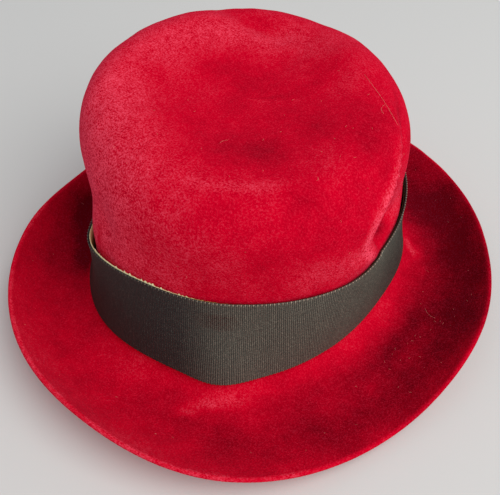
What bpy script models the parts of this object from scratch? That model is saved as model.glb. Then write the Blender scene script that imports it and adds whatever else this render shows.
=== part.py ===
"""A felt hat: a tall rounded crown and a rolled brim in one felt, with a wide ribbon.

Lengths are in metres. The hat rests on its brim at z = 0, with the origin under the middle
of the brim. The front is at -Y, and the head's long way lies along Y. An angle round the
hat starts at the front (-Y) and turns towards +X, about the middle of the head opening.
"""

import bpy
import bmesh
import numpy as np

# Driving sizes
HEAD_LENGTH = 0.1900        # inside the head opening, front to back
HEAD_WIDTH = 0.1680         # inside the head opening, side to side
OVAL_POWER = 2.06           # 2 is a true ellipse, more is squarer
FELT = 0.0024               # thickness of the felt
CROWN_HEIGHT = 0.1200       # outside, from the surface that it rests on to the crown's rim
SHOULDER_OUT = 0.026        # how far the crown's top edge is rounded, inwards
SHOULDER_UP = 0.026         # how far it is rounded, upwards
SHOULDER_POWER = 2.3        # 2 is a round shoulder, more is squarer
LEAN = 0.0050               # how far the wall leans in from its foot to the ribbon's top
SWELL = 0.0040              # how far it swells out again from there to the shoulder
DISH_DEPTH = 0.0070         # how far the crown's top sinks inside its rim
DISH_POWER = 1.3            # 1 is a round dish, more is flatter near its rim
FOOT_HEIGHT = 0.0100        # where the crown's wall starts to turn out into the brim
FOOT_TURN = 0.0130          # how far out that turn reaches
REST_WIDTH = 0.0060         # the flat ring of the brim that lies on the surface
BRIM_WIDTH = 0.0485         # from the end of the turn to the brim's edge, in plan
BRIM_RISE = 0.0220          # how high the brim's edge is rolled up
BRIM_ROLL = 2.1             # power of the roll's curve
RIBBON_WIDTH = 0.0500
RIBBON_THICK = 0.0008
BACKING_INSET = 0.0005      # how much narrower the backing is than the ribbon
BACKING_THICK = 0.0005
CLEARANCE = 0.0003          # between pieces that touch
SEAM_LIFT = 0.0006          # from the crown's foot up to the ribbon's lower edge
STAND_OFF = 0.0030          # where the ribbon's upper edge stands away from the felt
BACKING_SHOW = 0.0015       # how far the backing's upper edge wanders up and down

# How each size varies round the hat. A row is a direction, in degrees from the front
# towards +X, and each other column is a share of the size that its name stands for.
ROUND_COLUMNS = ("angle", "oval", "foot", "reach", "rise", "lean", "swell", "height", "shoulder",
                 "stand_off", "show")
ROUND_ROWS = (
    (0, 0.98, 1.00, 0.87, 1.05, 1.4, 0.0, 0.98, 0.80, 0.0, 0.2),
    (30, 1.00, 0.90, 1.015, 0.70, 1.5, 0.7, 0.97, 0.70, 0.0, -0.2),
    (60, 0.99, 1.05, 0.98, 0.35, -0.2, 0.4, 0.98, 0.80, 0.0, -0.4),
    (90, 0.99, 1.05, 1.00, 0.95, 0.0, 0.3, 0.99, 1.00, 0.1, -0.4),
    (120, 1.04, 1.05, 0.795, 0.85, 1.3, -0.1, 0.99, 1.05, 0.2, -0.4),
    (150, 1.03, 0.90, 0.77, 0.64, 1.5, -0.8, 1.01, 0.95, 0.2, -0.4),
    (180, 1.02, 0.80, 0.76, 0.70, 0.4, -0.2, 0.98, 1.00, 0.1, -0.4),
    (210, 1.00, 0.75, 0.80, 0.80, 0.0, 0.5, 1.01, 1.00, 0.1, -0.4),
    (240, 0.99, 0.70, 0.72, 0.80, -0.1, 0.6, 1.03, 0.85, 0.2, -0.2),
    (270, 0.97, 0.60, 0.56, 0.76, -0.1, 0.7, 1.03, 0.80, 0.1, 0.0),
    (300, 0.99, 0.60, 0.625, 1.00, 1.2, 0.3, 1.02, 0.60, 0.0, 0.0),
    (330, 0.99, 0.65, 0.735, 1.05, 1.1, -1.1, 1.00, 0.95, 0.6, 0.3),
)

# The long fold down the +X side: a crescent ridge, with a hollow beyond it. Its levels
# are shares of the crown's height, and its turns are in degrees.
FOLD_DEPTH = 0.0100
FOLD_RIDGE = 0.0030
FOLD_ANGLE = 71
FOLD_BEND = 12.5
FOLD_SKEW = 6
FOLD_LEVEL = 0.70
FOLD_REACH = 0.17
FOLD_EDGE = 5
FOLD_STEEPNESS = 4
FOLD_FADE = 25
FOLD_SWELL = 16
FOLD_TOP = 1.25
FOLD_FOOT = 0.95
FOLD_TAPER_POWER = 6

# The tuck at the left, where a flat of the crown draws the ribbon in behind a corner.
TUCK_DEPTH = 0.0062
TUCK_ANGLE = 312
TUCK_SPREAD = 16
TUCK_POWER = 4

# Hollows and ridges in the crown's wall. The centre is an angle in degrees and a share
# of the crown's height, the spreads are in the same units, and the push is inwards.
WALL_COLUMNS = ("angle", "level", "spread_round", "spread_up", "push")
WALL_DENTS = (
    (24, 0.08, 9, 0.18, -0.0036),
    (70, 0.52, 12, 0.10, -0.0016),
    (341, 0.64, 5, 0.18, 0.0014),
    (332, 0.66, 20, 0.10, 0.0022),
)

# Hollows and ridges in the crown's top: places as shares of the half head sizes, with
# the push downwards.
TOP_COLUMNS = ("across", "along", "spread_across", "spread_along", "push")
TOP_DENTS = (
    (-0.34, 0.62, 0.30, 0.10, 0.0046),
    (0.00, -0.55, 0.40, 0.12, -0.0012),
)

SEGMENTS = 72
BRIM_STEPS = (1.0, 0.86, 0.72, 0.57, 0.42, 0.27)
TURN_STEPS = (90, 62, 34)
BAND_STEPS = (0.0, 0.25, 0.5, 0.75, 1.0)
WALL_STEPS = (0.3, 0.65, 1.0)
SHOULDER_STEPS = (18, 36, 54, 72, 90)
TOP_STEPS = (0.82, 0.62, 0.42, 0.22)

ANGLES = np.arange(SEGMENTS) * 2 * np.pi / SEGMENTS


def round_share(column, angle):
    """Read a column of ROUND_ROWS at any angle, as a smooth closed curve."""
    place = ROUND_COLUMNS.index(column)
    values = np.array([row[place] for row in ROUND_ROWS])
    step = 2 * np.pi / len(values)
    turn = np.mod(angle, 2 * np.pi) / step
    first = np.floor(turn).astype(int)
    part = turn - first
    before, start, end, after = (values[(first + k) % len(values)] for k in (-1, 0, 1, 2))
    slope_start = (end - before) / 2
    slope_end = (after - start) / 2
    return ((2 * part**3 - 3 * part**2 + 1) * start + (part**3 - 2 * part**2 + part) * slope_start
            + (3 * part**2 - 2 * part**3) * end + (part**3 - part**2) * slope_end)


def head_radius(angle):
    """The inside of the head opening, as a distance from the middle."""
    across = np.abs(np.sin(angle)) / (HEAD_WIDTH / 2)
    along = np.abs(np.cos(angle)) / (HEAD_LENGTH / 2)
    oval = (across**OVAL_POWER + along**OVAL_POWER) ** (-1 / OVAL_POWER)
    return oval * round_share("oval", angle)


def foot_height(angle):
    return FOOT_HEIGHT * round_share("foot", angle)


def rim_height(angle):
    """The inner height of the crown's rim, under the felt."""
    return CROWN_HEIGHT * round_share("height", angle) - FELT


def shoulder_start(angle):
    return rim_height(angle) - SHOULDER_UP


def waist_height(angle):
    """Where the ribbon's upper edge lies on the wall."""
    return foot_height(angle) + SEAM_LIFT + RIBBON_WIDTH


def turn_between(angle, degrees):
    """How many degrees an angle lies past a direction, from -180 to 180."""
    return np.degrees(np.angle(np.exp(1j * (angle - np.radians(degrees)))))


def fold_push(angle, height):
    """The fold: a slow swell up to its ridge, then a quick fall and a slow rise."""
    up = (height / CROWN_HEIGHT - FOLD_LEVEL) / FOLD_REACH
    past = turn_between(angle, FOLD_ANGLE) - FOLD_BEND * up**2 - FOLD_SKEW * up**3
    fall = 1 / (1 + np.exp(-FOLD_STEEPNESS * (past / FOLD_EDGE - 1)))
    fade = np.exp(-(np.maximum(past - FOLD_EDGE, 0) / FOLD_FADE) ** 2)
    ridge = np.exp(-((np.minimum(past, 0) / FOLD_SWELL) ** 2)) * (1 - fall)
    along = np.exp(-((up / np.where(up > 0, FOLD_TOP, FOLD_FOOT)) ** FOLD_TAPER_POWER))
    return (FOLD_DEPTH * fall * fade - FOLD_RIDGE * ridge) * along


def wall_push(angle, height):
    """How far the fold and the dents press the wall in."""
    push = fold_push(angle, height)
    for row in WALL_DENTS:
        dent = dict(zip(WALL_COLUMNS, row))
        turn = turn_between(angle, dent["angle"]) / dent["spread_round"]
        up = (height / CROWN_HEIGHT - dent["level"]) / dent["spread_up"]
        push = push + dent["push"] * np.exp(-(turn**2) - up**2)
    return push


def smooth_radius(angle, height):
    """The wall without its dents: it leans in under the ribbon, with a tuck at the left,
    and swells out above."""
    foot, waist = foot_height(angle), waist_height(angle)
    low = np.clip((height - foot) / (waist - foot), 0, 1)
    high = np.clip((height - waist) / (rim_height(angle) - SHOULDER_UP / 2 - waist), 0, 1)
    lean = LEAN * round_share("lean", angle) * np.sin(low * np.pi / 2)
    swell = SWELL * round_share("swell", angle) * (1 - np.cos(high * np.pi)) / 2
    flat = np.exp(-(np.abs(turn_between(angle, TUCK_ANGLE) / TUCK_SPREAD) ** TUCK_POWER))
    tuck = TUCK_DEPTH * flat * low * (1 - high) ** 2
    return head_radius(angle) - lean + swell - tuck


def wall_radius(angle, height):
    return smooth_radius(angle, height) - wall_push(angle, height)


def top_push(x, y):
    """How far the dents press the crown's top down."""
    push = np.zeros_like(x)
    for row in TOP_DENTS:
        dent = dict(zip(TOP_COLUMNS, row))
        across = (x / (HEAD_WIDTH / 2) - dent["across"]) / dent["spread_across"]
        along = (y / (HEAD_LENGTH / 2) - dent["along"]) / dent["spread_along"]
        push = push + dent["push"] * np.exp(-across**2 - along**2)
    return push


def place(radius, angle, height):
    """Points at a distance, an angle and a height, one row for each."""
    height = np.broadcast_to(height, angle.shape)
    return np.stack([radius * np.sin(angle), -radius * np.cos(angle), height], axis=1)


def brim_ring(share, angle):
    """Under the brim: flat where it rests, then rolled up to the edge."""
    reach = BRIM_WIDTH * round_share("reach", angle)
    out = REST_WIDTH + share * (reach - REST_WIDTH)
    height = BRIM_RISE * round_share("rise", angle) * share**BRIM_ROLL
    return place(head_radius(angle) + FOOT_TURN + out, angle, height)


def turn_ring(degrees, angle):
    """The quarter turn from the flat brim, at 90 degrees, up to the wall, at 0."""
    turn = np.radians(degrees)
    radius = wall_radius(angle, foot_height(angle)) + FOOT_TURN * (1 - np.cos(turn))
    return place(radius, angle, foot_height(angle) * (1 - np.sin(turn)))


def low_wall_ring(share, angle):
    """From the crown's foot, at 0, up to the ribbon's upper edge, at 1."""
    foot = foot_height(angle)
    height = foot + share * (waist_height(angle) - foot)
    return place(wall_radius(angle, height), angle, height)


def high_wall_ring(share, angle):
    """From the ribbon's upper edge, at 0, up to the shoulder, at 1."""
    waist = waist_height(angle)
    height = waist + share * (shoulder_start(angle) - waist)
    return place(wall_radius(angle, height), angle, height)


def shoulder_ring(degrees, angle):
    turn = np.radians(degrees)
    inwards = 1 - np.cos(turn) ** (2 / SHOULDER_POWER)
    upwards = np.sin(turn) ** (2 / SHOULDER_POWER)
    height = shoulder_start(angle) + SHOULDER_UP * upwards
    radius = wall_radius(angle, height) - SHOULDER_OUT * round_share("shoulder", angle) * inwards
    points = place(radius, angle, height)
    points[:, 2] -= top_push(points[:, 0], points[:, 1]) * upwards
    return points


def top_ring(share, angle):
    """Inside the crown's rim the top sinks to its middle."""
    rim = shoulder_ring(90, angle)
    points = rim.copy()
    points[:, :2] *= share
    middle = rim[:, 2].mean()
    blend = share**2
    sink = DISH_DEPTH * (1 - share**2) ** DISH_POWER
    points[:, 2] = middle + (rim[:, 2] - middle) * blend - sink
    points[:, 2] -= top_push(points[:, 0], points[:, 1])
    points[:, 2] += top_push(rim[:, 0], rim[:, 1]) * blend
    return points


def push_out(ring, distance):
    """Move a closed level ring outwards in plan by a distance."""
    along = np.roll(ring, -1, axis=0) - np.roll(ring, 1, axis=0)
    outward = np.stack([along[:, 1], -along[:, 0], np.zeros(len(ring))], axis=1)
    outward /= np.linalg.norm(outward, axis=1)[:, None]
    return ring + outward * np.asarray(distance).reshape(-1, 1)


def band_ring(up, angle, clearance):
    """A ring round the crown, up from the ribbon's lower edge: taut, but pushed out by ridges."""
    height = foot_height(angle) + SEAM_LIFT + up
    ridges = np.maximum(-wall_push(angle, height), 0)
    ring = place(smooth_radius(angle, height) + ridges, angle, height)
    stand_off = STAND_OFF * round_share("stand_off", angle) * (up / RIBBON_WIDTH) ** 2
    return push_out(ring, FELT + clearance + stand_off)


def felt_rings():
    """All rings of the felt's inner side, from the brim's edge to the crown's top."""
    rings = [brim_ring(share, ANGLES) for share in BRIM_STEPS]
    rings.append(brim_ring(0.0, ANGLES))
    rings += [turn_ring(degrees, ANGLES) for degrees in TURN_STEPS]
    rings += [low_wall_ring(share, ANGLES) for share in BAND_STEPS]
    rings += [high_wall_ring(share, ANGLES) for share in WALL_STEPS]
    rings += [shoulder_ring(degrees, ANGLES) for degrees in SHOULDER_STEPS]
    rings += [top_ring(share, ANGLES) for share in TOP_STEPS]
    return rings


def ribbon_rings():
    clearance = CLEARANCE + BACKING_THICK + CLEARANCE
    return [band_ring(share * RIBBON_WIDTH, ANGLES, clearance) for share in BAND_STEPS]


def backing_rings():
    upper_edge = RIBBON_WIDTH - BACKING_INSET + BACKING_SHOW * round_share("show", ANGLES)
    heights = [share * RIBBON_WIDTH for share in BAND_STEPS[:-1]] + [upper_edge]
    return [band_ring(up, ANGLES, CLEARANCE) for up in heights]


def brim_middle():
    """The middle of the brim's outline, which the pieces are moved to stand over."""
    edge = brim_ring(BRIM_STEPS[0], ANGLES)
    middle = (edge.max(axis=0) + edge.min(axis=0)) / 2
    return middle[0], middle[1]


def clear_scene():
    for thing in list(bpy.data.objects):
        bpy.data.objects.remove(thing, do_unlink=True)


def plain_material(name, colour, roughness):
    material = bpy.data.materials.new(name)
    material.use_nodes = True
    shader = material.node_tree.nodes["Principled BSDF"]
    shader.inputs["Base Color"].default_value = (*colour, 1.0)
    shader.inputs["Roughness"].default_value = roughness
    shader.inputs["Metallic"].default_value = 0.0
    return material


def loft(name, rings, thickness, material, collection, closed_top):
    """Join rings, lowest first, by quads, and thicken the surface outwards."""
    build = bmesh.new()
    rows = [[build.verts.new(point) for point in ring] for ring in rings]
    for lower, upper in zip(rows, rows[1:]):
        for k in range(SEGMENTS):
            after = (k + 1) % SEGMENTS
            build.faces.new((lower[k], lower[after], upper[after], upper[k]))
    if closed_top:
        middle = build.verts.new(np.mean(rings[-1], axis=0))
        for k in range(SEGMENTS):
            build.faces.new((rows[-1][k], rows[-1][(k + 1) % SEGMENTS], middle))
    mesh = bpy.data.meshes.new(name)
    build.to_mesh(mesh)
    build.free()
    piece = bpy.data.objects.new(name, mesh)
    across, along = brim_middle()
    piece.location = (-across, -along, 0.0)
    collection.objects.link(piece)
    mesh.materials.append(material)
    mesh.shade_smooth()
    mesh.set_sharp_from_angle(angle=np.radians(50))
    wall = piece.modifiers.new("Thickness", 'SOLIDIFY')
    wall.thickness = thickness
    wall.offset = 1.0
    wall.use_even_offset = True
    wall.use_rim = True
    return piece


def make_felt(collection):
    colour = plain_material("red_felt", (0.46, 0.008, 0.03), 0.95)
    return loft("felt_body", felt_rings(), FELT, colour, collection, closed_top=True)


def make_ribbon(collection):
    colour = plain_material("black_grosgrain", (0.018, 0.018, 0.017), 0.6)
    return loft("ribbon_band", ribbon_rings(), RIBBON_THICK, colour, collection, closed_top=False)


def make_backing(collection):
    colour = plain_material("cream_tape", (0.62, 0.47, 0.26), 0.8)
    return loft("band_backing", backing_rings(), BACKING_THICK, colour, collection, closed_top=False)


def main():
    clear_scene()
    hat = bpy.data.collections.new("felt_hat")
    bpy.context.scene.collection.children.link(hat)
    make_felt(hat)
    make_ribbon(hat)
    make_backing(hat)


main()
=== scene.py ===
# %% [markdown]
# # A red velour hat with a wide ribbed ribbon
#
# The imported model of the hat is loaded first, as a fixed frame. It has the true size and the
# main forms, in plain solids. This script makes the surfaces that are seen: the napped felt,
# the ribbed ribbon and the cream tape behind it, each worked out on a grid of points.

import bpy
import numpy as np
from mathutils import Matrix, Vector


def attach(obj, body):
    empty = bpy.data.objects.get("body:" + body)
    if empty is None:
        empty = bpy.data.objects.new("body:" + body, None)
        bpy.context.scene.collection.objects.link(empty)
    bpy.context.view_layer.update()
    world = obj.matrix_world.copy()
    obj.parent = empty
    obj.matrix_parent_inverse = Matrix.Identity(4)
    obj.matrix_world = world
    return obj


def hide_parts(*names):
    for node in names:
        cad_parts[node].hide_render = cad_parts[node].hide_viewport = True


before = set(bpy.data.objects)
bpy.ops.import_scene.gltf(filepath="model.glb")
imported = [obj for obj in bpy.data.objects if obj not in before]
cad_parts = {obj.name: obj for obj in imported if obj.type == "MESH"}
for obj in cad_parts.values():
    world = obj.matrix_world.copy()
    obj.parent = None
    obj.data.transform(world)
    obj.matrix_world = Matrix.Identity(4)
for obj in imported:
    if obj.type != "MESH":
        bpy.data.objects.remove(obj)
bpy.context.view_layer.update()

print("nodes:", sorted(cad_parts))

# %% [markdown]
# ## The camera
#
# The photograph looks down on the hat from its front right, at about 46 degrees. The camera
# is placed by the point that it looks at, two angles and a distance. An angle round the hat
# starts at the front, at -Y, and turns towards +X.

# %% Place the camera
CAMERA_LOOKS_AT = Vector((-0.0117, 0.0076, 0.0))
CAMERA_TURN = 31.7
CAMERA_RISE = 46.0
CAMERA_AWAY = 0.4334
CAMERA_ROLL = 0.15
LENS = 50.4


def direction(turn, rise):
    """The unit vector at an angle round the hat and an angle above the horizon, in degrees."""
    a, e = np.radians(turn), np.radians(rise)
    return Vector((np.sin(a) * np.cos(e), -np.cos(a) * np.cos(e), np.sin(e)))


def make_camera():
    """The camera's place is the point that it looks at plus the distance times a direction."""
    towards = direction(CAMERA_TURN, CAMERA_RISE)
    lens = bpy.data.cameras.new("camera")
    lens.lens = LENS
    lens.clip_start = 0.01
    camera = bpy.data.objects.new("camera", lens)
    facing = towards.to_track_quat("Z", "Y").to_matrix().to_4x4()
    roll = Matrix.Rotation(np.radians(CAMERA_ROLL), 4, "Z")
    camera.matrix_world = Matrix.Translation(CAMERA_LOOKS_AT + towards * CAMERA_AWAY) @ facing @ roll
    bpy.context.scene.collection.objects.link(camera)
    bpy.context.scene.camera = camera
    return camera


print("camera at", [round(v, 3) for v in make_camera().matrix_world.translation])

# %% [markdown]
# ## The hat's sizes
#
# The crown and the brim are one felt, so one set of sizes gives them both. They are those of
# the solid model, in metres. A table says how they vary round the hat, with a row for every
# 30 degrees, as shares of the size that the column stands for.

# %% Sizes and the table of shares
HEAD_LENGTH = 0.1900  # inside the opening, front to back
HEAD_WIDTH = 0.1680  # inside the opening, side to side
OVAL_POWER = 2.06  # 2 is a true ellipse, more is squarer
FELT = 0.0024  # thickness of the felt
CROWN_HEIGHT = 0.1200  # outside, up to the crown's rim
SHOULDER_OUT, SHOULDER_UP = 0.026, 0.026  # how far the crown's top edge is rounded
SHOULDER_POWER = 2.3  # 2 is a round shoulder, more is squarer
LEAN, SWELL = 0.0050, 0.0040  # how far the wall leans in up to the ribbon's top, and out again
DISH_DEPTH = 0.0070  # how far the crown's top sinks inside its rim
DISH_POWER = 1.3  # 1 is a round dish, more is flatter near its rim
FOOT_HEIGHT = 0.0100  # where the crown's wall starts to turn out into the brim
FOOT_TURN = 0.0130  # how far out that turn reaches
REST_WIDTH = 0.0060  # the flat ring of the brim that lies on the floor
BRIM_WIDTH = 0.0485  # from the end of the turn to the brim's edge, in plan
BRIM_RISE = 0.0220  # how high the brim's edge is rolled up
BRIM_ROLL = 2.1  # power of the roll's curve
RIBBON_WIDTH, RIBBON_THICK = 0.0500, 0.0008
BACKING_INSET = 0.0005  # how much narrower the tape is than the ribbon
BACKING_THICK = 0.0005
CLEARANCE = 0.0003  # between pieces that touch
SEAM_LIFT = 0.0006  # from the foot up to the ribbon's edge
STAND_OFF = 0.0030  # how far the ribbon's upper edge stands off
BACKING_SHOW = 0.0015  # how far the tape's upper edge wanders

ROUND_COLUMNS = ("angle", "oval", "foot", "reach", "rise", "lean", "swell", "height", "shoulder",
                 "stand_off", "show")
ROUND_ROWS = (
    (0, 0.98, 1.00, 0.87, 1.05, 1.4, 0.0, 0.98, 0.80, 0.0, 0.2),
    (30, 1.00, 0.90, 1.015, 0.70, 1.5, 0.7, 0.97, 0.70, 0.0, -0.2),
    (60, 0.99, 1.05, 0.98, 0.35, -0.2, 0.4, 0.98, 0.80, 0.0, -0.4),
    (90, 0.99, 1.05, 1.00, 0.95, 0.0, 0.3, 0.99, 1.00, 0.1, -0.4),
    (120, 1.04, 1.05, 0.795, 0.85, 1.3, -0.1, 0.99, 1.05, 0.2, -0.4),
    (150, 1.03, 0.90, 0.77, 0.64, 1.5, -0.8, 1.01, 0.95, 0.2, -0.4),
    (180, 1.02, 0.80, 0.76, 0.70, 0.4, -0.2, 0.98, 1.00, 0.1, -0.4),
    (210, 1.00, 0.75, 0.80, 0.80, 0.0, 0.5, 1.01, 1.00, 0.1, -0.4),
    (240, 0.99, 0.70, 0.72, 0.80, -0.1, 0.6, 1.03, 0.85, 0.2, -0.2),
    (270, 0.97, 0.60, 0.56, 0.76, -0.1, 0.7, 1.03, 0.80, 0.1, 0.0),
    (300, 0.99, 0.60, 0.625, 1.00, 1.2, 0.3, 1.02, 0.60, 0.0, 0.0),
    (330, 0.99, 0.65, 0.735, 1.05, 1.1, -1.1, 1.00, 0.95, 0.6, 0.3),
)


def round_share(column, angle):
    """A column of the table at any angle: a cubic through the rows, with the slope at each
    row taken from its two neighbours, so the curve closes without a kink."""
    place = ROUND_COLUMNS.index(column)
    values = np.array([row[place] for row in ROUND_ROWS])
    turn = np.mod(angle, 2 * np.pi) / (2 * np.pi / len(values))
    first = np.floor(turn).astype(int)
    part = turn - first
    before, start, end, after = (values[(first + k) % len(values)] for k in (-1, 0, 1, 2))
    return ((2 * part**3 - 3 * part**2 + 1) * start
            + (part**3 - 2 * part**2 + part) * (end - before) / 2
            + (3 * part**2 - 2 * part**3) * end + (part**3 - part**2) * (after - start) / 2)


print("reach of the brim at the front:", round(BRIM_WIDTH * float(round_share("reach", 0.0)), 4))

# %% [markdown]
# ## Folds and dents
#
# A worn felt crown has soft dents. The largest is the long fold down its right side: a sharp
# ridge shaped like a crescent, with a hollow beyond it that fades out round the crown. At the
# left a tuck draws a flat of the wall in over the ribbon's top. The others are bell curves in
# tables. All are those of the solid model, with a sharper edge on the fold, except the dents
# of the brim, which only this surface has. Levels are shares of the crown's height.

# %% Sizes of the fold and the tuck
FOLD_DEPTH = 0.0100  # how deep the hollow beyond the ridge is
FOLD_RIDGE = 0.0030  # how far the ridge stands out
FOLD_ANGLE = 71  # where the ridge is, at its middle level
FOLD_BEND = 12.5  # how far the ridge curves round to its ends
FOLD_SKEW = 6  # how much further at its top than at its foot
FOLD_LEVEL = 0.70  # its middle level
FOLD_REACH = 0.17  # half of its length, as a level
FOLD_EDGE = 2.4  # how far past the ridge the wall has half fallen
FOLD_STEEPNESS = 4
FOLD_FADE = 25  # how far round the hollow fades out
FOLD_SWELL = 16  # how far round the wall swells up to the ridge
FOLD_TOP = 1.25  # where the fold ends above, in half lengths
FOLD_FOOT = 0.95  # where it ends below, in half lengths
FOLD_TAPER_POWER = 6  # more is a more sudden end
TUCK_DEPTH = 0.0062
TUCK_ANGLE = 312
TUCK_SPREAD = 16

print("middle of the fold:", round(FOLD_LEVEL * CROWN_HEIGHT, 3), "m up")

# %% [markdown]
# Each row of a table has the dent's place in two directions, its spread in both, and how far
# it pushes the felt in, in metres. On the wall the directions are the turn and the level, on
# the top shares of half the head, and on the brim the turn and the share of its width.

# %% Tables of dents
WALL_DENTS = (
    (24, 0.08, 9, 0.18, -0.0036),
    (70, 0.52, 12, 0.10, -0.0016),
    (341, 0.64, 5, 0.18, 0.0014),
    (332, 0.66, 20, 0.10, 0.0022),
)
TOP_DENTS = (
    (-0.34, 0.62, 0.30, 0.10, 0.0046),
    (0.00, -0.55, 0.40, 0.12, -0.0012),
)
BRIM_DENTS = (
    (16, 0.42, 3, 0.16, 0.0012),
    (20, 0.20, 5, 0.30, -0.0010),
    (127, 0.10, 3, 0.25, -0.0006),
)
BRIM_DENT_FADE = 0.1


def bell(u, v, spread_u, spread_v):
    """A bump that is 1 at its middle and falls as a bell curve in both directions."""
    return np.exp(-((u / spread_u) ** 2) - (v / spread_v) ** 2)


def turn_between(angle, degrees):
    """How many degrees an angle lies past a direction, from -180 to 180."""
    return np.degrees(np.angle(np.exp(1j * (angle - np.radians(degrees)))))


def flat_bell(angle, degrees, spread):
    """A bump round a direction with a flat top: the fourth power falls late and then fast."""
    return np.exp(-((turn_between(angle, degrees) / spread) ** 4))


print("dents:", len(WALL_DENTS) + len(TOP_DENTS) + len(BRIM_DENTS))

# %% [markdown]
# The fold is a product of two curves: one across the ridge, which swells, falls and rises
# again, and one along it, which ends it. The ridge's line is a cubic of the level.

# %% How far the felt is pushed
def fold_place(angle, height):
    """How many degrees a point lies past the ridge, and how much of the fold there is."""
    up = (height / CROWN_HEIGHT - FOLD_LEVEL) / FOLD_REACH
    past = turn_between(angle, FOLD_ANGLE) - FOLD_BEND * up**2 - FOLD_SKEW * up**3
    return past, np.exp(-((up / np.where(up > 0, FOLD_TOP, FOLD_FOOT)) ** FOLD_TAPER_POWER))


def fold_push(angle, height):
    """The fold: a slow swell up to its ridge, then a quick fall and a slow rise."""
    past, along = fold_place(angle, height)
    fall = 1 / (1 + np.exp(-FOLD_STEEPNESS * (past / FOLD_EDGE - 1)))
    fade = np.exp(-(np.maximum(past - FOLD_EDGE, 0) / FOLD_FADE) ** 2)
    ridge = np.exp(-((np.minimum(past, 0) / FOLD_SWELL) ** 2)) * (1 - fall)
    return (FOLD_DEPTH * fall * fade - FOLD_RIDGE * ridge) * along


def wall_push(angle, height):
    """How far the fold and the dents press the wall in."""
    push = fold_push(angle, height)
    for turn, level, spread_round, spread_up, depth in WALL_DENTS:
        past, up = turn_between(angle, turn), height / CROWN_HEIGHT - level
        push = push + depth * bell(past, up, spread_round, spread_up)
    return push


def top_push(x, y):
    """How far the dents press the crown's top down, with places as shares of the half head."""
    push = np.zeros_like(x)
    for across, along, spread_across, spread_along, depth in TOP_DENTS:
        right, back = x / (HEAD_WIDTH / 2) - across, y / (HEAD_LENGTH / 2) - along
        push = push + depth * bell(right, back, spread_across, spread_along)
    return push


def brim_push(angle, share):
    """How far the dents press the brim down, fading to nothing at the flat ring."""
    push = np.zeros(np.broadcast_shapes(np.shape(angle), np.shape(share)))
    for turn, middle, spread_round, spread_share, depth in BRIM_DENTS:
        push = push + depth * bell(turn_between(angle, turn), share - middle, spread_round, spread_share)
    return push * np.minimum(share / BRIM_DENT_FADE, 1)


print("push at the ridge:", wall_push(np.radians(FOLD_ANGLE), FOLD_LEVEL * CROWN_HEIGHT).round(4))

# %% [markdown]
# ## The felt's inner side
#
# The felt is made as a hatter blocks it: an oval head opening, a wall that leans in under
# the ribbon and swells out above it, a rounded shoulder and a softly sunken top. At its foot
# the wall turns out into the brim, which lies flat for 6 mm and is rolled up at its edge.

# %% Heights and radii of the felt
def place(radius, angle, height):
    """Points at a distance, an angle and a height, as a grid of rows and columns."""
    points = np.broadcast_arrays(radius * np.sin(angle), -radius * np.cos(angle), height)
    return np.stack(points, axis=-1)


def head_radius(angle):
    """The head opening: an oval, a little squarer than an ellipse, times its share."""
    across = np.abs(np.sin(angle)) / (HEAD_WIDTH / 2)
    along = np.abs(np.cos(angle)) / (HEAD_LENGTH / 2)
    oval = (across**OVAL_POWER + along**OVAL_POWER) ** (-1 / OVAL_POWER)
    return oval * round_share("oval", angle)


def foot_height(angle):
    """Where the wall starts to turn out into the brim, times its share."""
    return FOOT_HEIGHT * round_share("foot", angle)


def waist_height(angle):
    """Where the ribbon's upper edge lies on the wall."""
    return foot_height(angle) + SEAM_LIFT + RIBBON_WIDTH


def rim_height(angle):
    """The crown's rim on the felt's inner side, a thickness below the outer side."""
    return CROWN_HEIGHT * round_share("height", angle) - FELT


def smooth_radius(angle, height):
    """The wall without dents: a sine leans it in up to the ribbon's top, half a cosine swells
    it out again up to mid shoulder, and the tuck draws a flat of it in."""
    foot, waist = foot_height(angle), waist_height(angle)
    low = np.clip((height - foot) / (waist - foot), 0, 1)
    high = np.clip((height - waist) / (rim_height(angle) - SHOULDER_UP / 2 - waist), 0, 1)
    lean = LEAN * round_share("lean", angle) * np.sin(low * np.pi / 2)
    swell = SWELL * round_share("swell", angle) * (1 - np.cos(high * np.pi)) / 2
    tuck = TUCK_DEPTH * flat_bell(angle, TUCK_ANGLE, TUCK_SPREAD) * low * (1 - high) ** 2
    return head_radius(angle) - lean + swell - tuck


def wall_radius(angle, height):
    """The smooth wall less what the fold and the dents push in."""
    return smooth_radius(angle, height) - wall_push(angle, height)


print("head opening:", round(2 * float(head_radius(np.pi / 2)), 3), "m wide,",
      round(float(head_radius(0.0) + head_radius(np.pi)), 3), "m long")

# %% [markdown]
# Each zone gives a whole grid of points at once: the share is a column, the angle is a row.

# %% Brim, turn and wall
def brim_zone(share, angle):
    """Flat where the brim rests, then its height grows as a power of the share outwards."""
    reach = BRIM_WIDTH * round_share("reach", angle)
    radius = head_radius(angle) + FOOT_TURN + REST_WIDTH + share * (reach - REST_WIDTH)
    height = BRIM_RISE * round_share("rise", angle) * share**BRIM_ROLL
    return place(radius, angle, height - brim_push(angle, share))


def turn_zone(degrees, angle):
    """A quarter of an ellipse, from the flat brim, at 90 degrees, up to the wall, at 0."""
    turn = np.radians(degrees)
    radius = wall_radius(angle, foot_height(angle)) + FOOT_TURN * (1 - np.cos(turn))
    return place(radius, angle, foot_height(angle) * (1 - np.sin(turn)))


def wall_zone(share, angle):
    """From the crown's foot, at 0, straight up to the start of the shoulder, at 1."""
    foot = foot_height(angle)
    height = foot + share * (rim_height(angle) - SHOULDER_UP - foot)
    return place(wall_radius(angle, height), angle, height)


print("a small grid:", brim_zone(np.ones((3, 1)), np.zeros(4)).shape)

# %% [markdown]
# The shoulder is a superellipse, which turns later and tighter than a circle, as felt does
# over a block. Inside its rim the top is a shallow dish, drawn in ring by ring.

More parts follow.
